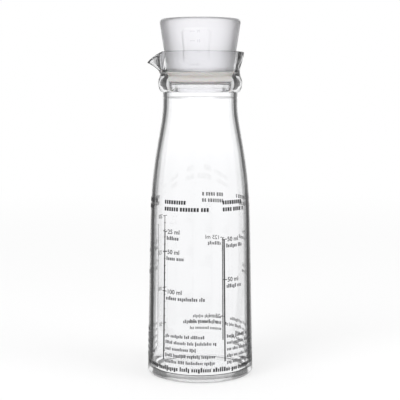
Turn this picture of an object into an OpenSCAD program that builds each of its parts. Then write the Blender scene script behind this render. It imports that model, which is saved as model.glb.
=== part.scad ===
// Clear pouring bottle with a frosted measuring cup for a stopper.
// The bottle stands on z = 0 with its axis on Z, and its beak points to -X.

/* [Bottle body] */
// Diameter of the foot
base_d = 62; // [54:0.5:80]
// Height at which the body turns into the shoulder
body_h = 88; // [60:1:120]
// Diameter at the top of the body
body_top_d = 58.4; // [52:0.2:62]
// Height of the shoulder, from the body to the narrowest part of the neck
shoulder_h = 70.5; // [50:0.5:100]
// Diameter at the narrowest part of the neck
neck_d = 43.5; // [42:0.1:48]
// Rounding of the foot's outer edge
foot_round = 2.5; // [1:0.1:4]

/* [Bottle walls] */
// Wall at the top of the body
body_wall = 2; // [1.6:0.1:4]
// Wall at the foot
base_wall = 2.8; // [2:0.1:5]
// Wall at the narrowest part of the neck
neck_wall = 2.3; // [2:0.1:4.5]
// Thickness of the floor
floor_t = 3.2; // [2.4:0.1:9]
// Rounding between the floor and the wall, inside
floor_round = 6; // [2:0.1:9]

/* [Collar and mouth] */
// Height of the bead's middle over the neck
bead_rise = 11.1; // [9:0.1:14]
// Diameter of the bead
bead_d = 48.7; // [47:0.1:54]
// Height of the groove over the bead's middle
groove_rise = 7; // [5:0.1:9]
// Diameter of the groove over the bead
groove_d = 45.9; // [45.6:0.1:47]
// Height of the rim over the groove
mouth_h = 10.8; // [9:0.1:14]
// Diameter of the rim
rim_d = 50.8; // [50:0.1:54]
// Thickness of the rim
rim_t = 2.8; // [1.8:0.1:3.2]
// Height of the bead's rounded underside
bead_under_h = 5.4; // [4.5:0.1:5.6]
// Depth of the fine parting line round the neck
seam_depth = 0.35; // [0.15:0.05:0.4]
// Height of the parting line over the neck's narrowest part
seam_rise = 2.7; // [1:0.1:2.9]

/* [Pouring beak] */
// Distance of the beak's tip from the axis
beak_reach = 30.8; // [29:0.1:34]
// Drop of the beak's tip below the rim
beak_drop = 6.1; // [4:0.1:7]
// Width of the beak where it leaves the rim
beak_w = 25; // [20:0.2:26]
// Width of the beak's nose
beak_nose_w = 8; // [6:0.1:10]
// Depth of the beak's throat below the rim
beak_depth = 12; // [10.5:0.1:12.5]
// Wall of the beak at the rim
beak_wall = 2; // [1.5:0.1:2.4]
// Wall of the beak at its nose
beak_nose_wall = 1.2; // [0.8:0.1:1.6]

/* [Measuring cup] */
// Depth of the cup's foot below the rim
cup_depth = 18.6; // [17:0.1:19]
// Height of the cup
cup_h = 37.4; // [30:0.2:60]
// Diameter of the cup's foot
cup_foot_d = 36; // [34:0.1:36.2]
// Half angle of the cup's taper
cup_taper = 8.5; // [6:0.1:8.6]
// Wall of the cup
cup_wall = 3.2; // [3.1:0.1:5]
// Thickness of the cup's floor
cup_floor = 6.6; // [4:0.1:9]
// Rounding of the cup's top edge
cup_round = 2; // [1:0.1:2.2]
// Rounding between the cup's floor and wall
cup_floor_round = 3.5; // [1:0.1:4]
// Depth of the sunk panel on the front of the cup
panel_depth = 0.35; // [0.2:0.05:0.5]
// Width of the panel at its top
panel_top_w = 17.4; // [12:0.2:20]
// Width of the panel at its bottom
panel_bottom_w = 14; // [10:0.2:16]
// Height of the panel
panel_h = 19; // [12:0.5:22]
// Distance of the panel's top below the cup's top edge
panel_drop = 6.2; // [4:0.1:10]
// Angle of the panel from the front
panel_turn = -6; // [-30:1:30]

/* [Seal ring] */
// Height of the seal ring
seal_h = 5.6; // [4:0.1:6]
// Height of the seal ring over the cup's foot
seal_rise = 1; // [0.8:0.1:1.6]
// Depth of the ring's groove in the cup
seal_seat = 1.3; // [0.9:0.1:1.6]
// Thickness of each fin
fin_t = 2.1; // [1.2:0.1:2.4]
// Clearance between the fins and the mouth
fin_gap = 0.2; // [0.1:0.05:0.4]
// Clearance between the ring and its groove
ring_gap = 0.12; // [0.08:0.02:0.3]

/* [Hidden] */

$fn = 96;
CURVE_STEPS = 14;
ARC_STEPS = 6;
HULL_FN = 32;
EPS = 0.01;
// Place of a cubic's control points that gives a quarter ellipse
ROUND = 0.55;

base_r = base_d / 2;
body_top_r = body_top_d / 2;
neck_r = neck_d / 2;
bead_r = bead_d / 2;
groove_r = groove_d / 2;
rim_r = rim_d / 2;
rim_round = rim_t / 2;

neck_z = body_h + shoulder_h;
bead_z = neck_z + bead_rise;
groove_z = bead_z + groove_rise;
rim_z = groove_z + mouth_h;
bead_foot_z = bead_z - bead_under_h;
seam_z = neck_z + seam_rise;

neck_in_r = neck_r - neck_wall;
rim_in_r = rim_r - rim_t;
above_rim = 40;

cup_z = rim_z - cup_depth;
cup_foot_r = cup_foot_d / 2;
cup_top_z = cup_z + cup_h;
cup_slope = tan(cup_taper);
cup_top_r = cup_foot_r + cup_h * cup_slope;
cup_wall_x = cup_wall / cos(cup_taper);
seat_z = cup_z + seal_rise;

// Points of a cubic curve through four control points
function curve(a, b, c, d, n = CURVE_STEPS) = [
    for (i = [0:n])
        let (t = i / n, s = 1 - t)
            a * s * s * s + b * 3 * t * s * s + c * 3 * t * t * s + d * t * t * t
];

// Points of an arc about a centre, from one angle to another
function arc(centre, r, from, to, n = ARC_STEPS) = [
    for (i = [0:n])
        let (w = from + (to - from) * i / n)
            centre + r * [cos(w), sin(w)]
];

// A list without its last point, where the next curve starts on it
function open(points) = [for (i = [0:len(points) - 2]) points[i]];

// Height by height interpolation of a radius on a rising curve
function radius_at(points, z) =
    let (hit = [
        for (i = [0:len(points) - 2])
            if (points[i].y <= z && z <= points[i + 1].y)
                let (t = (z - points[i].y) / (points[i + 1].y - points[i].y))
                    points[i].x + t * (points[i + 1].x - points[i].x)
    ]) hit[0];

// Slope of the body's side, as radius lost for each millimetre of height
body_slope = (base_r - body_top_r) / (body_h - foot_round);

// Outside of the shoulder: full at the body, quick into the neck
shoulder_pull = 0.6 * shoulder_h;
neck_pull = 0.22 * shoulder_h;
shoulder_out = curve(
    [body_top_r, body_h],
    [body_top_r - shoulder_pull * body_slope, body_h + shoulder_pull],
    [neck_r, neck_z - neck_pull],
    [neck_r, neck_z]);
shoulder_in = curve(
    [body_top_r - body_wall, body_h],
    [body_top_r - body_wall - shoulder_pull * body_slope, body_h + shoulder_pull],
    [neck_in_r, neck_z - neck_pull],
    [neck_in_r, neck_z]);

// Outside of the collar: a quarter ellipse under the bead, then bead to groove, groove to rim
bead_under = curve(
    [neck_r, bead_foot_z],
    [neck_r + ROUND * (bead_r - neck_r), bead_foot_z],
    [bead_r, bead_z - ROUND * bead_under_h],
    [bead_r, bead_z]);
bead_over = curve(
    [bead_r, bead_z],
    [bead_r, bead_z + groove_rise / 2],
    [groove_r, groove_z - groove_rise / 2],
    [groove_r, groove_z], 8);
flare_out = curve(
    [groove_r, groove_z],
    [groove_r, groove_z + 0.2 * mouth_h],
    [rim_r - 0.5, rim_z - 0.5 * mouth_h],
    [rim_r, rim_z - rim_round], 8);

// Inside of the collar: one funnel from the neck to the rim
collar_h = rim_z - neck_z;
funnel = curve(
    [neck_in_r, neck_z],
    [neck_in_r, neck_z + 0.33 * collar_h],
    [rim_in_r - 2.6, rim_z - 0.28 * collar_h],
    [rim_in_r, rim_z - rim_round], 20);

module bottle_outside() {
    rotate_extrude()
        polygon(concat(
            [[0, 0]],
            open(arc([base_r - foot_round, foot_round], foot_round, -90, 0)),
            [[base_r, foot_round]],
            shoulder_out,
            open(bead_under),
            open(bead_over),
            open(flare_out),
            arc([rim_r - rim_round, rim_z - rim_round], rim_round, 0, 90),
            [[0, rim_z]]));
}

module bottle_hollow() {
    floor_in_r = base_r - base_wall;
    rotate_extrude()
        polygon(concat(
            [[0, floor_t]],
            arc([floor_in_r - floor_round, floor_t + floor_round], floor_round, -90, 0),
            open(shoulder_in),
            open(funnel),
            arc([rim_in_r + rim_round, rim_z - rim_round], rim_round, 180, 90),
            [[rim_in_r + rim_round, rim_z + above_rim], [0, rim_z + above_rim]]));
}

// The beak swells out of the flare: a wide throat drawn down to a small nose.
// inset takes off the wall, which thins towards the nose.
throat_r = beak_w / 2;
nose_r = beak_nose_w / 2;
beak_fall = atan(beak_drop / (beak_reach - rim_in_r));
module beak_form(throat_inset, nose_inset) {
    nose_x = beak_reach - nose_r * cos(beak_fall);
    nose_z = rim_z - beak_drop + nose_r * sin(beak_fall);
    throat_x = rim_r - 8.2;
    hull() {
        translate([-throat_x, 0, rim_z - beak_depth + throat_r])
            sphere(r = throat_r - throat_inset, $fn = HULL_FN);
        translate([-nose_x, 0, nose_z])
            sphere(r = nose_r - nose_inset, $fn = HULL_FN);
    }
}

// Everything over the rim, and over the line from the rim to the nose
module beak_trim() {
    block = 100;
    translate([-block / 2, -block / 2, rim_z])
        cube(block);
    translate([-rim_in_r, -block / 2, rim_z])
        rotate([0, -beak_fall, 0])
            translate([-block, 0, 0])
                cube(block);
}

module seam_line() {
    translate([0, 0, seam_z - seam_depth])
        difference() {
            cylinder(r = bead_r + 1, h = 2 * seam_depth);
            cylinder(r = neck_r - seam_depth, h = 2 * seam_depth);
        }
}

module bottle() {
    color("aliceblue", 0.45)
        difference() {
            union() {
                bottle_outside();
                difference() {
                    beak_form(0, 0);
                    beak_trim();
                }
            }
            bottle_hollow();
            beak_form(beak_wall, beak_nose_wall);
            seam_line();
        }
}

// Radius of the cup's outside at a height over its foot
function cup_r(h) = cup_foot_r + h * cup_slope;

module cup_outside() {
    tilt = 90 - cup_taper;
    edge = [cup_top_r - cup_round * (1 + sin(cup_taper)) / cos(cup_taper), cup_h - cup_round];
    foot_edge = 0.5;
    rotate_extrude()
        polygon(concat(
            [[0, 0], [cup_foot_r - foot_edge, 0], [cup_r(foot_edge), foot_edge]],
            arc(edge, cup_round, tilt - 90, 90),
            [[0, cup_h]]));
}

module cup_hollow() {
    in_floor_r = cup_r(cup_floor) - cup_wall_x;
    in_top_r = cup_top_r - cup_wall_x;
    brim = 1;
    rotate_extrude()
        polygon(concat(
            [[0, cup_floor]],
            arc([in_floor_r - cup_floor_round * tan(45 - cup_taper / 2), cup_floor + cup_floor_round],
                cup_floor_round, -90, -cup_taper),
            [[in_top_r - brim * cup_slope, cup_h - brim]],
            [[in_top_r + brim, cup_h], [in_top_r + brim, cup_h + above_rim], [0, cup_h + above_rim]]));
}

// Groove that holds the seal ring
module ring_groove() {
    translate([0, 0, seal_rise])
        difference() {
            cylinder(r = cup_top_r, h = seal_h);
            cylinder(r = cup_r(seal_rise) - seal_seat, h = seal_h);
        }
}

// A thin slice off the front, in the outline of the panel
module cup_panel() {
    top = cup_h - panel_drop;
    corner = 2;
    rotate([0, 0, panel_turn])
        intersection() {
            difference() {
                cylinder(r = cup_top_r + 2, h = cup_h);
                translate([0, 0, -EPS])
                    cylinder(r1 = cup_foot_r - panel_depth, r2 = cup_top_r - panel_depth,
                        h = cup_h + 2 * EPS);
            }
            translate([0, 0, top])
                rotate([90, 0, 0])
                    linear_extrude(cup_top_r + 3)
                        polygon([
                            [-panel_bottom_w / 2, -panel_h],
                            [panel_bottom_w / 2, -panel_h],
                            [panel_top_w / 2, -corner],
                            [panel_top_w / 2 - corner, 0],
                            [corner - panel_top_w / 2, 0],
                            [-panel_top_w / 2, -corner]
                        ]);
        }
}

module measuring_cup() {
    color("gainsboro")
        translate([0, 0, cup_z])
            difference() {
                cup_outside();
                cup_hollow();
                ring_groove();
                cup_panel();
            }
}

// A fin is round at its edge, which lies fin_gap inside the mouth's funnel
module fin(z) {
    edge_r = radius_at(funnel, z) - fin_gap;
    fin_round = fin_t / 2;
    rotate_extrude()
        polygon(concat(
            [[cup_foot_r - seal_seat + ring_gap + 1, z - fin_round]],
            arc([edge_r - fin_round, z], fin_round, -90, 90, 8),
            [[cup_foot_r - seal_seat + ring_gap + 1, z + fin_round]]));
}

module seal_ring() {
    in_r = cup_r(seal_rise) - seal_seat + ring_gap;
    low = seat_z + ring_gap;
    high = seat_z + seal_h - ring_gap;
    color("wheat")
        union() {
            translate([0, 0, low])
                difference() {
                    cylinder(r = cup_foot_r, h = high - low);
                    translate([0, 0, -1])
                        cylinder(r = in_r, h = high - low + 2);
                }
            fin(low + fin_t / 2);
            fin(high - fin_t / 2);
        }
}

bottle();
measuring_cup();
seal_ring();
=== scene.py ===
import math

import bmesh
import bpy
import numpy as np
from bpy.props import FloatProperty, FloatVectorProperty, IntProperty, PointerProperty
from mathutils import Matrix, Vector


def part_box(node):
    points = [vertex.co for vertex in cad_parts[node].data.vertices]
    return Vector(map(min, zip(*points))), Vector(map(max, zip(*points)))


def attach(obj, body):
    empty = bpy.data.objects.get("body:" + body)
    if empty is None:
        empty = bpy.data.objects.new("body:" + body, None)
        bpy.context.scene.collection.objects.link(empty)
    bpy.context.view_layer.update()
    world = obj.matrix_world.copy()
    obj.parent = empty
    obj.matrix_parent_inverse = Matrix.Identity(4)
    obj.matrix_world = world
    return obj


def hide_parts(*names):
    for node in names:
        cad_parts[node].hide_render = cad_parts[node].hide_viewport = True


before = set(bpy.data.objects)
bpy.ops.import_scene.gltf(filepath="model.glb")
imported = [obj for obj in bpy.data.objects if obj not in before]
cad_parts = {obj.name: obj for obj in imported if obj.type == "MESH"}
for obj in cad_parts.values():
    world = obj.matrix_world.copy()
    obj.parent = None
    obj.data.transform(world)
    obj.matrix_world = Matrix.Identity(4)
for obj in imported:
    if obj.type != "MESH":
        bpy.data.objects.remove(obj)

bl_info = {
    "name": "Clear pouring bottle",
    "version": (1, 0, 0),
    "blender": (4, 5, 0),
    "location": "View3D > Sidebar > Bottle",
    "description": "Builds a clear bottle, its frosted measuring cup, its printing and a pale studio",
    "category": "Object",
}

MM = 0.001
SAME_POINT = 1e-7
SHARP_ANGLE = math.radians(40)
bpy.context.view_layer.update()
BOTTLE_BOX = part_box("bottle")
CUP_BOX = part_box("measuring_cup")
RING_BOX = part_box("seal_ring")
FOOT_R = float(BOTTLE_BOX[1][1] - BOTTLE_BOX[0][1]) / 2
RIM_Z = float(BOTTLE_BOX[1][2])
CUP_FOOT_Z = float(CUP_BOX[0][2])
CUP_TOP_Z = float(CUP_BOX[1][2])


def length(name, description, millimetres):
    """A length property, stored in metres."""
    return FloatProperty(
        name=name, description=description, default=millimetres * MM,
        subtype="DISTANCE", unit="LENGTH", precision=4)


class BottleSizes(bpy.types.PropertyGroup):
    """Sizes of the bottle, all from the model's own frame."""

    body_h: length("Body height", "Height at which the shoulder begins", 88)
    body_top_r: length("Body top radius", "Outer radius where the shoulder begins", 29.2)
    neck_z: length("Neck height", "Height of the narrowest part of the neck", 158.5)
    neck_r: length("Neck radius", "Outer radius of the neck", 21.75)
    foot_round: length("Foot rounding", "Rounding of the foot's outer edge", 2.5)
    body_wall: length("Body wall", "Wall at the top of the body", 2)
    base_wall: length("Foot wall", "Wall at the foot", 2.8)
    neck_wall: length("Neck wall", "Wall at the neck", 2.3)
    floor_t: length("Floor", "Thickness of the floor", 3.2)
    floor_round: length("Floor rounding", "Rounding between floor and wall, inside", 6)
    seam_rise: length("Seam rise", "Height of the parting line over the neck", 2.7)
    seam_depth: length("Seam depth", "Depth of the parting line, and half its height", 0.35)
    bead_rise: length("Bead rise", "Height of the bead over the neck", 11.1)
    bead_r: length("Bead radius", "Outer radius of the bead", 24.35)
    bead_under: length("Bead underside", "Height of the bead's rounded underside", 5.4)
    groove_rise: length("Groove rise", "Height of the groove over the bead", 7)
    groove_r: length("Groove radius", "Outer radius of the groove", 22.95)
    rim_r: length("Rim radius", "Outer radius of the rim", 25.4)
    rim_t: length("Rim thickness", "Thickness of the rim", 2.8)
    rim_round: length("Rim rounding", "Rounding of the rim's two edges", 0.5)
    beak_root: length("Beak depth", "Depth of the beak's root below the rim", 12.9)
    beak_reach: length("Beak reach", "Distance of the beak's tip from the axis", 30.8)
    beak_drop: length("Beak drop", "Drop of the beak's tip below the rim", 6.1)
    beak_tip_t: length("Beak tip wall", "Wall at the beak's tip", 1.2)
    beak_half_angle: FloatProperty(
        name="Beak half angle", description="Half the angle that the beak takes of the rim",
        default=math.radians(33.5), subtype="ANGLE", unit="ROTATION")
    turns: IntProperty(name="Columns", description="Columns of faces round the bottle", default=288, min=96)


class CupSizes(bpy.types.PropertyGroup):
    """Sizes of the measuring cup, over its own foot."""

    foot_r: length("Foot radius", "Outer radius of the cup's foot", 18)
    taper: FloatProperty(
        name="Taper", description="Half angle of the cup's taper",
        default=math.radians(8.5), subtype="ANGLE", unit="ROTATION")
    wall: length("Wall", "Wall of the cup", 3.2)
    floor_t: length("Floor", "Thickness of the cup's floor", 6.6)
    edge_round: length("Edge rounding", "Rounding of the top edge", 2)
    brim_round: length("Brim rounding", "Rounding of the inner top edge", 1)
    floor_round: length("Floor rounding", "Rounding between floor and wall, inside", 3.5)
    seat_h: length("Groove height", "Height of the groove for the ring", 5.6)
    seat_rise: length("Groove rise", "Height of the groove over the foot", 1)
    seat_depth: length("Groove depth", "Depth of the groove for the ring", 1.3)
    panel_top: length("Panel top", "Half width of the sunk panel at its top", 8.7)
    panel_bottom: length("Panel bottom", "Half width of the panel at its bottom", 7)
    panel_h: length("Panel height", "Height of the panel", 19)
    panel_drop: length("Panel drop", "Distance of the panel below the top edge", 6.2)
    panel_depth: length("Panel depth", "Depth of the sunk panel", 0.35)
    panel_turn: FloatProperty(
        name="Panel turn", description="Angle of the panel from the front",
        default=math.radians(-6), subtype="ANGLE", unit="ROTATION")
    turns: IntProperty(name="Columns", description="Columns of faces round the cup", default=360, min=96)


class PrintSizes(bpy.types.PropertyGroup):
    """Sizes of the printing on the bottle and of the marks on the cup."""

    ink: length("Ink", "Thickness of the ink", 0.04)
    lift: length("Lift", "Gap between the ink and the wall", 0.01)
    rule: length("Rule width", "Width of the upright rules", 0.85)
    tick: length("Tick", "Length of a scale's ticks", 2.6)
    heading: length("Heading", "Height of the heading blocks", 2.2)
    line: length("Line", "Height of the small blocks", 2.2)
    figure: length("Figures", "Height of the figures", 2.6)


class Finish(bpy.types.PropertyGroup):
    """Colours and gloss."""

    clear: FloatVectorProperty(
        name="Clear plastic", description="Tint of the clear plastic",
        default=(0.985, 0.987, 0.993), subtype="COLOR", size=3, min=0, max=1)
    frosted: FloatVectorProperty(
        name="Frosted plastic", description="Tint of the frosted plastic",
        default=(0.985, 0.982, 1.0), subtype="COLOR", size=3, min=0, max=1)
    silicone: FloatVectorProperty(
        name="Silicone", description="Colour of the seal ring",
        default=(0.96, 0.92, 0.88), subtype="COLOR", size=3, min=0, max=1)
    ink: FloatVectorProperty(
        name="Ink", description="Colour of the printing",
        default=(0.012, 0.012, 0.014), subtype="COLOR", size=3, min=0, max=1)
    thin_ink: FloatVectorProperty(
        name="Thin ink", description="Colour of the small print",
        default=(0.09, 0.09, 0.095), subtype="COLOR", size=3, min=0, max=1)
    mark: FloatVectorProperty(
        name="Cup marks", description="Colour of the marks on the cup",
        default=(0.7, 0.7, 0.72), subtype="COLOR", size=3, min=0, max=1)
    floor: FloatVectorProperty(
        name="Floor", description="Colour of the studio floor",
        default=(0.9, 0.9, 0.9), subtype="COLOR", size=3, min=0, max=1)
    clear_ior: FloatProperty(
        name="Clear IOR", description="Refraction of the clear plastic", default=1.55, min=1, max=2)
    frosted_roughness: FloatProperty(
        name="Frosting", description="Roughness of the frosted plastic", default=0.3, min=0, max=1)


def curve(a, b, c, d, steps):
    """Points of the cubic through four control points, as steps + 1 rows."""
    t = np.linspace(0, 1, steps + 1)[:, None]
    s = 1 - t
    a, b, c, d = (np.array(p, float) for p in (a, b, c, d))
    return a * s ** 3 + 3 * b * t * s ** 2 + 3 * c * t ** 2 * s + d * t ** 3


def arc(centre, radius, start, end, steps):
    """Points of an arc about a centre, between two angles in degrees."""
    w = np.radians(np.linspace(start, end, steps + 1))
    return np.array(centre, float) + radius * np.stack([np.cos(w), np.sin(w)], axis=1)


def line(a, b, steps):
    """Points of a straight stretch, as steps + 1 rows."""
    t = np.linspace(0, 1, steps + 1)[:, None]
    return np.array(a, float) * (1 - t) + np.array(b, float) * t


def joined(*stretches):
    """One path of several stretches, without the doubled points where they meet."""
    path = np.concatenate(stretches)
    step = np.linalg.norm(np.diff(path, axis=0), axis=1)
    return path[np.concatenate([[True], step > SAME_POINT])]


def grid_faces(rows, columns):
    """Quads of a grid whose columns close into a ring, as an array of corner numbers."""
    i = np.arange(rows - 1)[:, None]
    j = np.arange(columns)[None, :]
    up, on = i + 1, (j + 1) % columns
    corners = [i * columns + j, i * columns + on, up * columns + on, up * columns + j]
    return np.stack([np.broadcast_to(c, (i.size, columns)) for c in corners], axis=-1).reshape(-1, 4)


def make_piece(name, points, faces, smooth=True):
    """A mesh object at the origin from an array of points and a list of faces."""
    mesh = bpy.data.meshes.new(name)
    mesh.from_pydata(points, [], faces)
    mesh.update()
    mesh.polygons.foreach_set("use_smooth", np.full(len(mesh.polygons), smooth))
    if smooth:
        mesh.set_sharp_from_angle(angle=SHARP_ANGLE)
    piece = bpy.data.objects.new(name, mesh)
    bpy.context.scene.collection.objects.link(piece)
    return piece


def lathe(name, path, turns, bend=None):
    """Surface of revolution of a path that starts and ends on the axis.

    A point at path place s and angle w lies at (r(s) sin w, -r(s) cos w, z(s)). bend may
    first change r and z as functions of both. The two end points become single poles.
    """
    w = np.linspace(0, 2 * math.pi, turns, endpoint=False)[None, :]
    r = np.repeat(path[1:-1, :1], turns, axis=1)
    z = np.repeat(path[1:-1, 1:], turns, axis=1)
    if bend:
        r, z = bend(r, z, w)
    rings = np.stack([r * np.sin(w), -r * np.cos(w), z], axis=-1).reshape(-1, 3)
    rows = len(path) - 2
    first, last = rows * turns, rows * turns + 1
    poles = [[0, 0, path[0, 1]], [0, 0, path[-1, 1]]]
    j = np.arange(turns)
    on = (j + 1) % turns
    top = (rows - 1) * turns
    fans = np.stack([np.full(turns, first), on, j], axis=1).tolist()
    fans += np.stack([np.full(turns, last), top + j, top + on], axis=1).tolist()
    return make_piece(name, np.vstack([rings, poles]), grid_faces(rows, turns).tolist() + fans)


def shoulder_curve(s, body_r, neck_r):
    """The shoulder as one cubic, which leaves the body along its taper and meets the neck upright."""
    slope = (FOOT_R - s.body_top_r) / (s.body_h - s.foot_round)
    shoulder = s.neck_z - s.body_h
    pull, catch = 0.6 * shoulder, 0.22 * shoulder
    return curve((body_r, s.body_h), (body_r - pull * slope, s.body_h + pull),
                 (neck_r, s.neck_z - catch), (neck_r, s.neck_z), 40)


def outer_body(s):
    """Outside of the bottle from the foot to the neck: a rounded foot, a straight taper and the shoulder."""
    return joined(
        arc((FOOT_R - s.foot_round, s.foot_round), s.foot_round, -90, 0, 8),
        line((FOOT_R, s.foot_round), (s.body_top_r, s.body_h), 24),
        shoulder_curve(s, s.body_top_r, s.neck_r))


def with_seam(path, z, depth):
    """A rising path with a fine groove cut into it at one height."""
    heights = z + depth * np.array([-1, -0.6, 0.6, 1])
    groove = np.stack([np.interp(heights, path[:, 1], path[:, 0]), heights], axis=1)
    groove[1:3, 0] -= depth
    return np.concatenate([path[path[:, 1] < z - depth], groove, path[path[:, 1] > z + depth]])


def outer_collar(s):
    """Outside of the collar, from the neck to the rim.

    An upright neck with its parting line, a quarter ellipse under the bead, and cubics from
    bead to groove and from groove to rim.
    """
    bead_z = s.neck_z + s.bead_rise
    foot_z = bead_z - s.bead_under
    groove_z = bead_z + s.groove_rise
    edge = s.rim_round
    mouth = RIM_Z - groove_z
    bulge = 0.55  # handle of a cubic that follows a quarter ellipse
    neck = line((s.neck_r, s.neck_z), (s.neck_r, foot_z), 12)
    return joined(
        with_seam(neck, s.neck_z + s.seam_rise, s.seam_depth),
        curve((s.neck_r, foot_z), (s.neck_r + bulge * (s.bead_r - s.neck_r), foot_z),
              (s.bead_r, bead_z - bulge * s.bead_under), (s.bead_r, bead_z), 20),
        curve((s.bead_r, bead_z), (s.bead_r, bead_z + s.groove_rise / 2),
              (s.groove_r, groove_z - s.groove_rise / 2), (s.groove_r, groove_z), 14),
        curve((s.groove_r, groove_z), (s.groove_r, groove_z + 0.2 * mouth),
              (s.rim_r - 0.5 * MM, RIM_Z - 0.5 * mouth), (s.rim_r, RIM_Z - edge), 16),
        arc((s.rim_r - edge, RIM_Z - edge), edge, 0, 90, 6))


def inner_wall(s):
    """Inside of the bottle from the rim down to the floor's middle."""
    edge = s.rim_round
    rim_in, neck_in = s.rim_r - s.rim_t, s.neck_r - s.neck_wall
    body_in, floor_in = s.body_top_r - s.body_wall, FOOT_R - s.base_wall
    collar = RIM_Z - s.neck_z
    funnel = curve((neck_in, s.neck_z), (neck_in, s.neck_z + 0.33 * collar),
                   (rim_in - 2.6 * MM, RIM_Z - 0.28 * collar), (rim_in, RIM_Z - edge), 40)
    shoulder_in = shoulder_curve(s, body_in, neck_in)
    floor_arc = arc((floor_in - s.floor_round, s.floor_t + s.floor_round), s.floor_round, -90, 0, 10)
    return joined(
        arc((rim_in + edge, RIM_Z - edge), edge, 90, 180, 6),
        funnel[::-1],
        shoulder_in[::-1],
        line((body_in, s.body_h), (floor_in, s.floor_t + s.floor_round), 20),
        floor_arc[::-1])


def beak_bend(s, outer_rows):
    """The pouring beak, as a change of radius and height over the top of the wall.

    u rises from 0 at the beak's root to 1 at the rim. At each u the beak takes an angle to
    each side of the -X direction that grows with u, and across it the push falls from the
    tip to a crease like one branch of a hyperbola, so that the nose is round and the sides
    are nearly flat. The rim drops with the same fall.
    """
    nose = 0.26  # roundness of the tip, as a share of the half width
    spread = 0.55  # power by which the beak widens towards the rim
    flare = 2.6  # power by which the push grows towards the rim
    throat, throat_h = 0.13, 0.15  # early push at the root, and the share of the height it takes
    sag = 1.3  # power by which the rim's drop follows the push

    def bend(r, z, w):
        root_z = RIM_Z - s.beak_root
        u = np.clip((z - root_z) / s.beak_root, 0, 1)
        off = np.abs((w + math.pi / 2 + math.pi) % (2 * math.pi) - math.pi)
        half = s.beak_half_angle * np.clip(u, 1e-4, 1) ** spread
        across = np.clip(off / half, 0, 1)
        far = math.hypot(1, nose)
        fall = (far - np.sqrt(across ** 2 + nose ** 2)) / (far - nose)
        growth = u ** flare + throat * (1 - u) * np.clip(u / throat_h, 0, 1)
        push = np.full(r.shape, s.beak_reach - s.rim_r)
        push[outer_rows:] = s.beak_reach - s.beak_tip_t - (s.rim_r - s.rim_t)
        drop = s.beak_drop * fall ** sag
        z = np.where(u > 0, root_z + (z - root_z) * (1 - drop / s.beak_root), z)
        return r + push * growth * fall, z

    return bend


def build_bottle(s):
    """The whole bottle as one closed surface: out over the foot, up, over the rim and down."""
    outside = joined(line((0, 0), (FOOT_R - s.foot_round, 0), 8), outer_body(s), outer_collar(s))
    inside = inner_wall(s)
    path = joined(outside, inside, line(inside[-1], (0, s.floor_t), 8))
    return lathe("bottle_shell", path, s.turns, beak_bend(s, len(outside) - 1))


def cup_radius(c, h):
    """Outer radius of the cup at a height over its foot."""
    return c.foot_r + h * math.tan(c.taper)


def build_cup(c):
    """The measuring cup as one closed surface of revolution with a sunk panel."""
    height = CUP_TOP_Z - CUP_FOOT_Z
    lean = math.degrees(c.taper)
    slope = math.tan(c.taper)
    across = c.wall / math.cos(c.taper)
    top_r = cup_radius(c, height)
    edge_r = top_r - c.edge_round * (1 + math.sin(c.taper)) / math.cos(c.taper)
    brim_r = top_r - across
    foot_edge = 0.5 * MM  # rounding of the foot's edge
    seat_r = cup_radius(c, c.seat_rise) - c.seat_depth
    seat_top = c.seat_rise + c.seat_h
    floor_r = cup_radius(c, c.floor_t) - across
    bowl_r = floor_r - c.floor_round * math.tan(math.pi / 4 - c.taper / 2)
    soft = 0.15 * MM  # bevel at the groove's two edges
    path = joined(
        line((0, 0), (c.foot_r - foot_edge, 0), 6),
        arc((c.foot_r - foot_edge, foot_edge), foot_edge, -90, 0, 4),
        line((cup_radius(c, c.seat_rise - soft), c.seat_rise - soft),
             (cup_radius(c, 0) - soft, c.seat_rise), 2),
        line((seat_r, c.seat_rise), (seat_r, seat_top), 4),
        line((cup_radius(c, seat_top) - soft, seat_top),
             (cup_radius(c, seat_top + soft), seat_top + soft), 2),
        line((cup_radius(c, seat_top + soft), seat_top + soft),
             (cup_radius(c, height - 2 * c.edge_round), height - 2 * c.edge_round), 90),
        arc((edge_r, height - c.edge_round), c.edge_round, -lean, 90, 12),
        arc((brim_r + c.brim_round, height - c.brim_round), c.brim_round, 90, 180 - lean, 8),
        line((brim_r - c.brim_round * slope, height - c.brim_round),
             (bowl_r + c.floor_round * math.cos(c.taper),
              c.floor_t + c.floor_round * (1 - math.sin(c.taper))), 30),
        arc((bowl_r, c.floor_t + c.floor_round), c.floor_round, -lean, -90, 8),
        line((bowl_r, c.floor_t), (0, c.floor_t), 8))
    path[:, 1] += CUP_FOOT_Z
    panel_top_z = CUP_TOP_Z - c.panel_drop
    left_edge, right_edge, top_edge, low_edge = (k * MM for k in (0.5, 1.1, 0.8, 3))
    corner = 2 * MM
    skin = 1.1 * MM

    def sink(r, z, w):
        """Moves the outside in by the panel's depth inside a trapezoid, with a soft edge."""
        under = panel_top_z - z
        half = c.panel_top + (c.panel_bottom - c.panel_top) * np.clip(under / c.panel_h, 0, 1)
        turned = (w - c.panel_turn + math.pi) % (2 * math.pi) - math.pi
        blur = np.where(turned < 0, left_edge, right_edge)
        cut = np.clip((corner - under) / corner, 0, 1) * corner
        inside = np.clip((half - cut - np.abs(turned * r)) / blur, 0, 1)
        inside = inside * np.clip(under / top_edge, 0, 1)
        inside = inside * np.clip((c.panel_h - under) / low_edge, 0, 1)
        outer = r > cup_radius(c, 0) + (z - CUP_FOOT_Z) * slope - skin
        return r - c.panel_depth * inside * outer, z

    return lathe("cup_shell", path, c.turns, sink)


def wall_radius(s):
    """A function from height to the bottle's outer radius, along its body and shoulder."""
    body = outer_body(s)
    return lambda z: np.interp(z, body[:, 1], body[:, 0])


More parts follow.
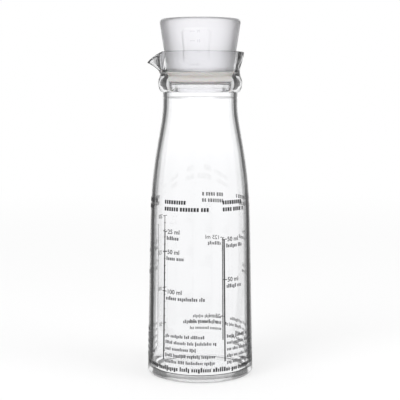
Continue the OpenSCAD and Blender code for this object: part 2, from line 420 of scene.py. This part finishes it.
def cup_wall_radius(c):
    """A function from height to the radius of the cup's sunk panel."""
    slope = math.tan(c.taper)
    return lambda z: c.foot_r + (np.asarray(z) - CUP_FOOT_Z) * slope - c.panel_depth


def wrap(flat, radius, angle):
    """Lays flat points (along, height, out) on a round wall.

    along is an arc length from the given angle, counted from the front towards +X, and out
    is a distance from the wall.
    """
    along, height, out = flat[:, 0], flat[:, 1], flat[:, 2]
    at = radius(height)
    w = angle + along / at
    r = at + out
    return np.stack([r * np.sin(w), -r * np.cos(w), height], axis=1)


class InkSheet:
    """Blocks and figures of ink that lie on one wall and become one piece."""

    LONGEST, TALLEST = 1.5 * MM, 6 * MM  # largest stretch of a block that stays flat
    LETTERS = (3, 11)  # blocks in a word, from the first up to but without the last
    WIDE, CAPITAL_WIDE = (0.3, 0.44), (0.46, 0.6)  # width of a block over the line's height
    GAP, CAPITAL_GAP, SPACE = 0.16, 0.2, 0.36  # gaps between blocks and words, likewise
    TALL = (0.72, 0.72, 1.0)  # heights that a block may take
    HANG, HANG_ODDS = 0.24, 0.1  # how far a block hangs low, and how often
    FONT_SIZE, FONT_WEIGHT = 1.38, 0.022  # size and thickening of a figure over its height

    def __init__(self, radius, lift, ink):
        self.radius, self.lift, self.ink = radius, lift, ink
        self.points, self.faces, self.count = [], [], 0

    def add(self, points, faces):
        """Adds a closed form, given by its points and its faces."""
        self.points.append(points)
        self.faces += [[self.count + k for k in face] for face in faces]
        self.count += len(points)

    def block(self, angle, left, low, width, height):
        """A block of ink from its lower left corner, cut along its width to follow the wall."""
        steps = max(1, int(math.ceil(width / self.LONGEST)))
        rises = max(1, int(math.ceil(height / self.TALLEST)))
        u = np.linspace(left, left + width, steps + 1)
        v = np.linspace(low, low + height, rises + 1)
        uu, vv = np.meshgrid(u, v)
        n = uu.size
        flat = np.concatenate([
            np.stack([uu.ravel(), vv.ravel(), np.full(n, out)], axis=1)
            for out in (self.lift, self.lift + self.ink)])
        cols = steps + 1
        under, over = [], []
        for b in range(rises):
            for a in range(steps):
                k = b * cols + a
                over.append([n + k, n + k + 1, n + k + cols + 1, n + k + cols])
                under.append([k, k + cols, k + cols + 1, k + 1])
        edge = list(range(cols)) + [cols * (b + 2) - 1 for b in range(rises)]
        edge += [rises * cols + a for a in range(steps - 1, -1, -1)]
        edge += [b * cols for b in range(rises - 1, 0, -1)]
        sides = [[a, b, n + b, n + a] for a, b in zip(edge, edge[1:] + edge[:1])]
        self.add(wrap(flat, self.radius, angle), over + under + sides)

    def words(self, angle, left, base, width, height, seed, even=False):
        """A line of made-up words: blocks of ink in words of 3 to 10.

        The blocks are of uneven height, with some that stand tall or hang low, unless even
        is set, when all have the full height as capitals do.
        """
        rng = np.random.default_rng(seed)
        widths, gap = (self.CAPITAL_WIDE, self.CAPITAL_GAP) if even else (self.WIDE, self.GAP)
        at = left
        while at < left + width - height / 2:
            for _ in range(int(rng.integers(*self.LETTERS))):
                wide = height * rng.uniform(*widths)
                if at + wide > left + width:
                    break
                tall = height * (1 if even else rng.choice(self.TALL))
                hangs = rng.random() < self.HANG_ODDS and not even
                low = base - (height * self.HANG if hangs else 0)
                self.block(angle, at, low, wide, tall + base - low)
                at += wide + height * gap
            at += height * self.SPACE

    def figures(self, angle, left, base, height, text, align="LEFT"):
        """Figures from Blender's own font, made a mesh and then laid on the wall."""
        font = bpy.data.curves.new("figures", "FONT")
        font.body, font.align_x = text, align
        font.size, font.offset = height * self.FONT_SIZE, height * self.FONT_WEIGHT
        font.extrude, font.resolution_u = self.ink / 2, 3
        holder = bpy.data.objects.new("figures", font)
        bpy.context.scene.collection.objects.link(holder)
        bpy.context.view_layer.update()
        graph = bpy.context.evaluated_depsgraph_get()
        mesh = bpy.data.meshes.new_from_object(holder.evaluated_get(graph))
        work = bmesh.new()
        work.from_mesh(mesh)
        bmesh.ops.remove_doubles(work, verts=work.verts, dist=1e-6)
        bmesh.ops.recalc_face_normals(work, faces=work.faces)
        work.verts.index_update()
        flat = np.array([tuple(v.co) for v in work.verts])
        faces = [[v.index for v in face.verts] for face in work.faces]
        work.free()
        bpy.data.objects.remove(holder)
        bpy.data.curves.remove(font)
        bpy.data.meshes.remove(mesh)
        flat += np.array([left, base, self.lift + self.ink / 2])
        self.add(wrap(flat, self.radius, angle), faces)

    def piece(self, name):
        """The finished object."""
        return make_piece(name, np.concatenate(self.points), self.faces, smooth=False)


def node(tree, kind, values=(), **settings):
    """A new node, with settings as attributes and values on its input sockets."""
    new = tree.nodes.new(kind)
    for name, value in settings.items():
        setattr(new, name, value)
    for name, value in dict(values).items():
        new.inputs[name].default_value = value
    return new


def math_node(tree, operation, a, b=None):
    """A Math node with links or numbers on its inputs; returns its output."""
    new = node(tree, "ShaderNodeMath", operation=operation)
    for place, value in enumerate((a, b)):
        if isinstance(value, bpy.types.NodeSocket):
            tree.links.new(value, new.inputs[place])
        elif value is not None:
            new.inputs[place].default_value = value
    return new.outputs[0]


def ramp(tree, value, start, end, low=0.0, high=1.0):
    """A smooth change from low at start to high at end; returns its output."""
    step = node(tree, "ShaderNodeMapRange", {
        "From Min": start, "From Max": end, "To Min": low, "To Max": high}, interpolation_type="SMOOTHSTEP")
    tree.links.new(value, step.inputs["Value"])
    return step.outputs["Result"]


def axes(tree, vector):
    """The three outputs of a Separate XYZ node."""
    split = node(tree, "ShaderNodeSeparateXYZ")
    tree.links.new(vector, split.inputs[0])
    return split.outputs


def mixed(tree, share, none, full):
    """A mix of two numbers by a share; returns its output."""
    mix = node(tree, "ShaderNodeMix", data_type="FLOAT")
    for place, socket in ((0, share), (2, none), (3, full)):
        tree.links.new(socket, mix.inputs[place])
    return mix.outputs[0]


def mixed_shaders(tree, share, none, full):
    """A mix of two shaders by a share; returns its output."""
    mix = node(tree, "ShaderNodeMixShader")
    for place, socket in enumerate((share, none, full)):
        tree.links.new(socket, mix.inputs[place])
    return mix.outputs[0]


def use_group(tree, name, values=()):
    """A node of a shared group, with values on its input sockets."""
    return node(tree, "ShaderNodeGroup", values, node_tree=bpy.data.node_groups[name])


def new_group(name, inputs, outputs):
    """An empty shader node group with named sockets."""
    group = bpy.data.node_groups.new(name, "ShaderNodeTree")
    for label, kind, default in inputs:
        socket = group.interface.new_socket(label, in_out="INPUT", socket_type=kind)
        if default is not None:
            socket.default_value = default
    for label, kind in outputs:
        group.interface.new_socket(label, in_out="OUTPUT", socket_type=kind)
    return group, group.nodes.new("NodeGroupInput"), group.nodes.new("NodeGroupOutput")


def flag_group():
    """Two black studio flags behind the bottle, with a bright window between them.

    The compass angle is counted from +Y to either side. A flag is 1 between its first and
    last angle, with soft edges. Offset is the half width of the window at the bottle
    itself, for a surface near it: the angle is then taken from the window's own edge.
    """
    group, given, out = new_group(
        "studio_flags",
        [("Direction", "NodeSocketVector", None), ("Offset", "NodeSocketFloat", 0.0),
         ("First", "NodeSocketFloat", math.radians(15)), ("Last", "NodeSocketFloat", math.radians(58)),
         ("Softness", "NodeSocketFloat", math.radians(6))],
        [("Flag", "NodeSocketFloat")])
    along = axes(group, given.outputs["Direction"])
    aside = math_node(group, "SUBTRACT", math_node(group, "ABSOLUTE", along["X"]), given.outputs["Offset"])
    angle = math_node(group, "ARCTAN2", aside, along["Y"])
    edges = []
    for limit, way in (("First", 1), ("Last", -1)):
        far = math_node(group, "SUBTRACT", angle, given.outputs[limit])
        part = math_node(group, "DIVIDE", math_node(group, "MULTIPLY", far, way), given.outputs["Softness"])
        edges.append(ramp(group, part, -0.5, 0.5))
    group.links.new(math_node(group, "MULTIPLY", *edges), out.inputs["Flag"])


def guided_ray(tree, path, rest):
    """1 for light that was reflected inside a clear wall, and rest for other light."""
    inside = math_node(tree, "GREATER_THAN", path.outputs["Transmission Depth"], 0.5)
    turned = math_node(tree, "GREATER_THAN", path.outputs["Glossy Depth"], 0.5)
    both = math_node(tree, "MULTIPLY", inside, turned)
    return math_node(tree, "MAXIMUM", both, rest)


def glassy_ray(tree, path):
    """1 for light that reaches the camera by glass or gloss, and 0 for the rest."""
    return math_node(tree, "MAXIMUM", path.outputs["Is Glossy Ray"], path.outputs["Is Transmission Ray"])


def grain_group():
    """Fine moulding grain: two noises, given as a height and as a small change of roughness."""
    group, given, out = new_group(
        "moulding_grain",
        [("Scale", "NodeSocketFloat", 900.0), ("Roughness", "NodeSocketFloat", 0.3),
         ("Spread", "NodeSocketFloat", 0.05)],
        [("Height", "NodeSocketFloat"), ("Roughness", "NodeSocketFloat")])
    place = node(group, "ShaderNodeTexCoord")
    fine = node(group, "ShaderNodeTexNoise", {"Detail": 2.0})
    wide = node(group, "ShaderNodeTexNoise", {"Scale": 60.0, "Detail": 3.0})
    group.links.new(place.outputs["Object"], fine.inputs["Vector"])
    group.links.new(given.outputs["Scale"], fine.inputs["Scale"])
    group.links.new(place.outputs["Object"], wide.inputs["Vector"])
    centred = math_node(group, "SUBTRACT", wide.outputs["Fac"], 0.5)
    change = math_node(group, "MULTIPLY", centred, given.outputs["Spread"])
    group.links.new(math_node(group, "ADD", given.outputs["Roughness"], change), out.inputs["Roughness"])
    group.links.new(fine.outputs["Fac"], out.inputs["Height"])


def split_group():
    """Two finishes of one moulding: one roughness below a height and another above it."""
    group, given, out = new_group(
        "split_finish",
        [("Height", "NodeSocketFloat", 0.0), ("Below", "NodeSocketFloat", 0.1),
         ("Above", "NodeSocketFloat", 0.0)],
        [("Roughness", "NodeSocketFloat")])
    place = node(group, "ShaderNodeTexCoord")
    height = axes(group, place.outputs["Object"])["Z"]
    low = math_node(group, "LESS_THAN", height, given.outputs["Height"])
    finish = mixed(group, low, given.outputs["Above"], given.outputs["Below"])
    group.links.new(finish, out.inputs["Roughness"])


def new_material(name, values):
    """A material with a Principled BSDF whose constant values sit on its own sockets."""
    material = bpy.data.materials.new(f"finish_{name}")
    material.use_nodes = True
    tree = material.node_tree
    shader = tree.nodes["Principled BSDF"]
    for label, value in values.items():
        shader.inputs[label].default_value = value
    return material, tree, shader


def add_grain(tree, shader, scale, roughness, spread, bump):
    """Wires the grain group to a shader's roughness and, through a Bump node, its normal."""
    grain = use_group(tree, "moulding_grain", {"Scale": scale, "Roughness": roughness, "Spread": spread})
    lift = node(tree, "ShaderNodeBump", {"Strength": 1.0, "Distance": bump})
    tree.links.new(grain.outputs["Height"], lift.inputs["Height"])
    tree.links.new(lift.outputs["Normal"], shader.inputs["Normal"])
    tree.links.new(grain.outputs["Roughness"], shader.inputs["Roughness"])
    return grain


def clear_plastic(finish):
    """Polished clear plastic, slightly wavy from the mould, with a matt underside."""
    material, tree, shader = new_material("clear_plastic", {
        "Base Color": (*finish.clear, 1), "Transmission Weight": 1.0, "IOR": finish.clear_ior,
        "Metallic": 0.0})
    add_grain(tree, shader, scale=25.0, roughness=0.0, spread=0.0, bump=2e-5)
    under = use_group(tree, "split_finish", {"Height": 0.4 * MM, "Below": 0.13, "Above": 0.0})
    tree.links.new(under.outputs["Roughness"], shader.inputs["Roughness"])
    return material


def frosted_plastic(finish):
    """Frosted, light-scattering plastic with a fine etched grain and a polished foot."""
    material, tree, shader = new_material("frosted_plastic", {
        "Base Color": (*finish.frosted, 1), "Transmission Weight": 0.97, "IOR": 1.5, "Metallic": 0.0})
    grain = add_grain(tree, shader, scale=2400.0, roughness=finish.frosted_roughness, spread=0.06, bump=1e-6)
    foot = use_group(tree, "split_finish", {
        "Height": CUP_FOOT_Z + 7.0 * MM, "Below": 0.02, "Above": finish.frosted_roughness})
    tree.links.new(foot.outputs["Roughness"], grain.inputs["Roughness"])
    return material


def silicone(finish):
    """Soft warm silicone with a faint mottle."""
    material, tree, shader = new_material("silicone", {
        "Base Color": (*finish.silicone, 1), "Subsurface Weight": 0.15, "Subsurface Scale": 0.002,
        "IOR": 1.41})
    add_grain(tree, shader, scale=1500.0, roughness=0.5, spread=0.12, bump=1e-5)
    return material


def ink(finish, name, colour):
    """Screen printed ink: matt, a little uneven in depth."""
    material, tree, shader = new_material(name, {"Base Color": (*colour, 1), "IOR": 1.45})
    add_grain(tree, shader, scale=3000.0, roughness=0.45, spread=0.15, bump=5e-6)
    return material


def material_of(name):
    """A finished material, made once by the finishes operator."""
    return bpy.data.materials[f"finish_{name}"]


def dress(piece, name, body):
    """Gives a new piece its material and the body that it rides on."""
    piece.data.materials.append(material_of(name))
    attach(piece, body)


class BOTTLE_OT_finishes(bpy.types.Operator):
    """Make the materials and the effects that they share"""

    bl_idname = "bottle.finishes"
    bl_label = "Finishes"

    def execute(self, context):
        finish = context.scene.bottle_finish
        flag_group()
        grain_group()
        split_group()
        clear_plastic(finish)
        frosted_plastic(finish)
        silicone(finish)
        ink(finish, "print", finish.ink)
        ink(finish, "small_print", finish.thin_ink)
        ink(finish, "cup_marks", finish.mark)
        return {"FINISHED"}


class BOTTLE_OT_shell(bpy.types.Operator):
    """Make the clear bottle with its bead, flared mouth and beak"""

    bl_idname = "bottle.shell"
    bl_label = "Bottle"

    def execute(self, context):
        piece = build_bottle(context.scene.bottle_sizes)
        dress(piece, "clear_plastic", "bottle")
        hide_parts("bottle")
        return {"FINISHED"}


class BOTTLE_OT_cup(bpy.types.Operator):
    """Make the frosted measuring cup that closes the mouth"""

    bl_idname = "bottle.cup"
    bl_label = "Measuring cup"

    def execute(self, context):
        piece = build_cup(context.scene.cup_sizes)
        dress(piece, "frosted_plastic", "cup")
        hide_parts("measuring_cup")
        return {"FINISHED"}


class BOTTLE_OT_ring(bpy.types.Operator):
    """Give the seal ring its silicone"""

    bl_idname = "bottle.ring"
    bl_label = "Seal ring"

    def execute(self, context):
        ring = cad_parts["seal_ring"]
        for slot in ring.material_slots:
            slot.material = material_of("silicone")
        return {"FINISHED"}


class BOTTLE_OT_print(bpy.types.Operator):
    """Print the scales, the figures and the made-up words on the bottle"""

    bl_idname = "bottle.printing"
    bl_label = "Printing"

    def execute(self, context):
        sizes = context.scene.print_sizes
        radius = wall_radius(context.scene.bottle_sizes)
        rules = InkSheet(radius, sizes.lift, sizes.ink)
        heads = InkSheet(radius, sizes.lift, sizes.ink)
        words = InkSheet(radius, sizes.lift, sizes.ink)
        figures = InkSheet(radius, sizes.lift, sizes.ink)
        print_columns(sizes, rules, heads, words, figures)
        print_volume_scale(sizes, rules, figures)
        for sheet, name in ((rules, "print_rules"), (heads, "print_headings"), (figures, "print_figures")):
            dress(sheet.piece(name), "print", "bottle")
        dress(words.piece("print_words"), "small_print", "bottle")
        return {"FINISHED"}


# Each column: angle of its rule in degrees, height of the rule's top, marks as (height,
# millilitres, width of the words under them), widths of the two heading lines, and widths
# of the small lines at the foot, all in millimetres
COLUMNS = [
    (-43, 86, [(86, 25, 8), (74.5, 50, 12), (51.8, 100, 24)], (14, 27.5), (25, 31, 20, 32, 30)),
    (27.3, 82, [(82, 50, 12), (59, 50, 12)], (15, 17), (18, 24, 22, 26, 20)),
    (92, 82, [(82, 75, 14), (62, 25, 10)], (18, 15), (24, 28, 20, 26, 22)),
    (150.5, 76, [(76, 125, 9), (27, 25, 26)], (15, 15), (20, 24, 22)),
    (-112, 86, [(76, 25, 12), (64, 75, 16)], (29, 24), (22, 26, 24, 28, 20)),
]
RULE_FOOT = 12.2 * MM
HEADING_Z = 101.6 * MM
HEADING_STEP = 3.9 * MM
SMALL_TOP = 25.6 * MM
SMALL_STEP = 3.7 * MM
BASE_LINE = (-75, 6.6 * MM, 76 * MM)  # angle of its start in degrees, height and length
TICK_T = 0.5 * MM
INSET = 1.4 * MM  # distance of the words from the middle of their rule
FIGURE_INSET = 0.6 * MM  # further distance of the figures
HEADING_INSET = -0.6 * MM
WORD_DROP = 4.8 * MM  # distance of a mark's words below the mark
SMALL_SHARE, BASE_SHARE = 0.86, 1.15  # heights over that of the words under a mark


def print_columns(sizes, rules, heads, words, figures):
    """Columns of marks round the bottle, each with a rule, a heading and small lines."""
    for number, (degrees, top, marks, titles, smalls) in enumerate(COLUMNS):
        angle = math.radians(degrees)
        top = top * MM
        seed = 10 * number
        rules.block(angle, -sizes.rule / 2, RULE_FOOT, sizes.rule, top - RULE_FOOT)
        for place, wide in enumerate(titles):
            heads.words(angle, HEADING_INSET, HEADING_Z - place * HEADING_STEP, wide * MM, sizes.heading,
                        seed + place, even=True)
        for place, (z, amount, wide) in enumerate(marks):
            z = z * MM
            stub = sizes.tick / 2 - sizes.rule / 2
            rules.block(angle, sizes.rule / 2, z - TICK_T / 2, sizes.tick / 2, TICK_T)
            rules.block(angle, -sizes.tick / 2, z - TICK_T / 2, stub, TICK_T)
            figures.figures(
                angle, INSET + FIGURE_INSET, z - sizes.figure / 2, sizes.figure, f"{amount} ml")
            words.words(angle, INSET, z - WORD_DROP, wide * MM, sizes.line, 100 + seed + place)
        for place, wide in enumerate(smalls):
            words.words(angle, INSET, SMALL_TOP - place * SMALL_STEP, wide * MM, sizes.line * SMALL_SHARE,
                        200 + seed + place)
    degrees, z, wide = BASE_LINE
    heads.words(math.radians(degrees), 0, z, wide, sizes.line * BASE_SHARE, 300)


VOLUME_ANGLE = math.radians(-128.6)
VOLUME_STEP = 4.4 * MM  # height of 10 ml
VOLUME_ZERO = 2.5 * MM
VOLUME_MARKS = 20
VOLUME_INSET = 0.8 * MM
LONG_TICK, SHORT_TICK = 1.5, 0.8  # lengths over that of a column's tick


def print_volume_scale(sizes, rules, figures):
    """The scale of whole volumes: a tick each 10 ml, a longer one and a figure each 50 ml."""
    for step in range(1, VOLUME_MARKS + 1):
        z = VOLUME_ZERO + step * VOLUME_STEP
        long = step % 5 == 0
        wide = sizes.tick * (LONG_TICK if long else SHORT_TICK)
        rules.block(VOLUME_ANGLE, -wide / 2, z - TICK_T / 2, wide, TICK_T)
        if long:
            figures.figures(VOLUME_ANGLE, wide / 2 + VOLUME_INSET, z - sizes.figure / 2, sizes.figure,
                            str(step * 10))
    low = VOLUME_ZERO + VOLUME_STEP
    rules.block(VOLUME_ANGLE, -sizes.rule / 2, low, sizes.rule, VOLUME_STEP * (VOLUME_MARKS - 1))


# Marks on the cup as (height in millimetres, millilitres)
CUP_MARKS = [(198.2, "20"), (192.9, "15"), (187, "10"), (180.2, "5")]
CUP_INK, CUP_INK_LIFT = 0.05 * MM, 0.02 * MM
CUP_TICK, CUP_TICK_T, CUP_TICK_START = 2.9 * MM, 0.24 * MM, -3.6 * MM
CUP_FIGURE, CUP_FIGURE_START, CUP_FIGURE_DROP = 1.5 * MM, 0.2 * MM, 0.7 * MM


class BOTTLE_OT_cup_marks(bpy.types.Operator):
    """Put the small measuring marks on the cup's panel"""

    bl_idname = "bottle.cup_marks"
    bl_label = "Cup marks"

    def execute(self, context):
        cup = context.scene.cup_sizes
        turn = cup.panel_turn
        sheet = InkSheet(cup_wall_radius(cup), CUP_INK_LIFT, CUP_INK)
        for z, text in CUP_MARKS:
            sheet.block(turn, CUP_TICK_START, z * MM - CUP_TICK_T / 2, CUP_TICK, CUP_TICK_T)
            sheet.figures(turn, CUP_FIGURE_START, z * MM - CUP_FIGURE_DROP, CUP_FIGURE, text)
        dress(sheet.piece("cup_measure_marks"), "cup_marks", "cup")
        return {"FINISHED"}


# Camera in metres, degrees downwards and pixels, worked out from the ellipses of the foot,
# the rim and the cup's top in the photograph
CAMERA_PLACE = (-0.00012, -0.6357, 0.1656)
CAMERA_PITCH = 5.752
CAMERA_CLIP = (0.01, 50)
SENSOR = 36
FRAME_PX = 400
FOCAL_PX = 1092

# Levels that glass and gloss see, where 1 is white. The flags stay black for light that was
# reflected inside a wall, and are weaker for light that passes straight through.
FLOOR_SHARE = 0.56
WORLD_SHARE = 0.52
FLOOR_FLAG = 0.93
SOFT_LIGHT = 0.8  # level of the surround as a light


class BOTTLE_OT_stage(bpy.types.Operator):
    """Make the floor, the white surround, the soft lamps and the camera"""

    bl_idname = "bottle.stage"
    bl_label = "Studio"

    def execute(self, context):
        scene = context.scene
        finish = scene.bottle_finish
        make_floor(finish)
        make_world(scene)
        make_lamps(scene)
        lens = bpy.data.cameras.new("camera")
        lens.sensor_width = SENSOR
        lens.lens = SENSOR * FOCAL_PX / FRAME_PX
        lens.clip_start, lens.clip_end = CAMERA_CLIP
        camera = bpy.data.objects.new("camera", lens)
        camera.location = CAMERA_PLACE
        camera.rotation_euler = (math.radians(90 - CAMERA_PITCH), 0, 0)
        scene.collection.objects.link(camera)
        scene.camera = camera
        scene.view_settings.view_transform = "Standard"
        return {"FINISHED"}


def floor_disc():
    """The floor as a disc of rings, which grow wider with their distance from the middle."""
    rim, rings, turns = 6.0, 40, 96
    below = -0.15 * MM
    r = np.geomspace(0.02, rim, rings)
    w = np.linspace(0, 2 * math.pi, turns, endpoint=False)
    points = np.stack([np.outer(r, np.sin(w)), -np.outer(r, np.cos(w)),
                       np.full((rings, turns), below)], axis=-1).reshape(-1, 3)
    middle = rings * turns
    fan = [[(j + 1) % turns, j, middle] for j in range(turns)]
    faces = grid_faces(rings, turns)[:, ::-1].tolist() + fan
    return make_piece("studio_floor", np.vstack([points, [[0, 0, below]]]), faces)


def make_floor(finish):
    """A round pale floor, whose far part turns plain white so that it meets the surround.

    The camera sees it matt, with a white that grows with the distance. Glass and gloss see
    a white with the two flags in it, which rises with the distance and towards the front.
    """
    floor = floor_disc()
    material = bpy.data.materials.new("studio_floor")
    material.use_nodes = True
    tree = material.node_tree
    tree.nodes.clear()
    place = node(tree, "ShaderNodeTexCoord").outputs["Object"]
    path = node(tree, "ShaderNodeLightPath")
    plain = node(tree, "ShaderNodeBsdfDiffuse", {"Color": (*finish.floor, 1)}).outputs[0]
    white = node(tree, "ShaderNodeEmission", {"Color": (1, 1, 1, 1), "Strength": 1.0}).outputs[0]
    distance = node(tree, "ShaderNodeVectorMath", operation="LENGTH")
    tree.links.new(place, distance.inputs[0])
    far = distance.outputs["Value"]
    seen = mixed_shaders(tree, ramp(tree, far, 0.1, 1.2, 0.55, 1.0), plain, white)
    flags = use_group(tree, "studio_flags", {"Offset": FOOT_R})
    tree.links.new(place, flags.inputs["Direction"])
    front = ramp(tree, axes(tree, place)["Y"], 0.0, -0.2, 0.0, 0.2)
    open_level = math_node(tree, "ADD", ramp(tree, far, 0.6, 5.0, 0.94, 1.07), front)
    share = math_node(tree, "MULTIPLY", guided_ray(tree, path, FLOOR_SHARE), FLOOR_FLAG)
    flagged = math_node(tree, "MULTIPLY", flags.outputs["Flag"], share)
    through = node(tree, "ShaderNodeEmission")
    tree.links.new(math_node(tree, "SUBTRACT", open_level, flagged), through.inputs["Strength"])
    first = mixed_shaders(tree, path.outputs["Is Camera Ray"], plain, seen)
    surface = mixed_shaders(tree, glassy_ray(tree, path), first, through.outputs[0])
    out = node(tree, "ShaderNodeOutputMaterial")
    tree.links.new(surface, out.inputs["Surface"])
    floor.data.materials.append(material)


def make_world(scene):
    """White for the camera, flagged white for glass and gloss, and plain soft light for the rest.

    The flags lean apart with height and fade out higher up, and the front is brighter.
    """
    world = bpy.data.worlds.new("studio_surround")
    scene.world = world
    world.use_nodes = True
    tree = world.node_tree
    tree.nodes.clear()
    place = node(tree, "ShaderNodeTexCoord").outputs["Generated"]
    path = node(tree, "ShaderNodeLightPath")
    along = axes(tree, place)
    flags = use_group(tree, "studio_flags")
    tree.links.new(place, flags.inputs["Direction"])
    lean = ramp(tree, along["Z"], 0.08, 0.2, math.radians(17), math.radians(30))
    tree.links.new(lean, flags.inputs["First"])
    low = math_node(tree, "SUBTRACT", 1.0, ramp(tree, along["Z"], 0.35, 0.5))
    flagged = math_node(tree, "MULTIPLY", flags.outputs["Flag"], low)
    flagged = math_node(tree, "MULTIPLY", flagged, guided_ray(tree, path, WORLD_SHARE))
    front = ramp(tree, along["Y"], 0.0, -0.6, 1.07, 1.25)
    glass_level = math_node(tree, "SUBTRACT", front, flagged)
    camera = math_node(tree, "MULTIPLY", path.outputs["Is Camera Ray"], 1 - SOFT_LIGHT)
    rest = math_node(tree, "ADD", camera, SOFT_LIGHT)
    light = node(tree, "ShaderNodeBackground", {"Color": (1, 1, 1, 1)})
    tree.links.new(mixed(tree, glassy_ray(tree, path), rest, glass_level), light.inputs["Strength"])
    out = node(tree, "ShaderNodeOutputWorld")
    tree.links.new(light.outputs[0], out.inputs["Surface"])


# Lamps as name, place, diameter in metres and power in watts
LAMPS = [
    ("key_softbox", (-0.7, -0.9, 1.1), 0.9, 9.0),
    ("fill_softbox", (0.9, -0.5, 0.8), 0.8, 4.0),
]
LAMP_TARGET = (0, 0, 0.1)


def make_lamps(scene):
    """Two large soft lamps that look at the middle of the bottle."""
    for name, place, size, power in LAMPS:
        data = bpy.data.lights.new(name, "AREA")
        data.shape, data.size, data.energy = "DISK", size, power
        lamp = bpy.data.objects.new(name, data)
        lamp.location = place
        lamp.visible_glossy = lamp.visible_transmission = False
        aim = Vector(LAMP_TARGET) - Vector(place)
        lamp.rotation_euler = aim.to_track_quat("-Z", "Y").to_euler()
        scene.collection.objects.link(lamp)


class BOTTLE_PT_panel(bpy.types.Panel):
    """Lists the sizes and the steps in the 3D view's sidebar."""

    bl_idname = "BOTTLE_PT_panel"
    bl_label = "Clear pouring bottle"
    bl_space_type = "VIEW_3D"
    bl_region_type = "UI"
    bl_category = "Bottle"

    def draw(self, context):
        for operator in OPERATORS:
            self.layout.operator(operator.bl_idname)
        for group in GROUPS:
            box = self.layout.box()
            settings = getattr(context.scene, group)
            for name in settings.bl_rna.properties.keys():
                if name not in ("rna_type", "name"):
                    box.prop(settings, name)


GROUPS = {
    "bottle_sizes": BottleSizes,
    "cup_sizes": CupSizes,
    "print_sizes": PrintSizes,
    "bottle_finish": Finish,
}
OPERATORS = (
    BOTTLE_OT_finishes,
    BOTTLE_OT_shell,
    BOTTLE_OT_cup,
    BOTTLE_OT_ring,
    BOTTLE_OT_print,
    BOTTLE_OT_cup_marks,
    BOTTLE_OT_stage,
)


def register():
    """Registers the classes and the settings."""
    for cls in (*GROUPS.values(), *OPERATORS, BOTTLE_PT_panel):
        bpy.utils.register_class(cls)
    for name, group in GROUPS.items():
        setattr(bpy.types.Scene, name, PointerProperty(type=group))


def unregister():
    """Takes the settings and the classes away again."""
    for name in GROUPS:
        delattr(bpy.types.Scene, name)
    for cls in (BOTTLE_PT_panel, *reversed(OPERATORS), *GROUPS.values()):
        bpy.utils.unregister_class(cls)


def main():
    """Builds everything in order."""
    register()
    for operator in OPERATORS:
        group, name = operator.bl_idname.split(".")
        getattr(getattr(bpy.ops, group), name)()


if __name__ == "__main__":
    main()
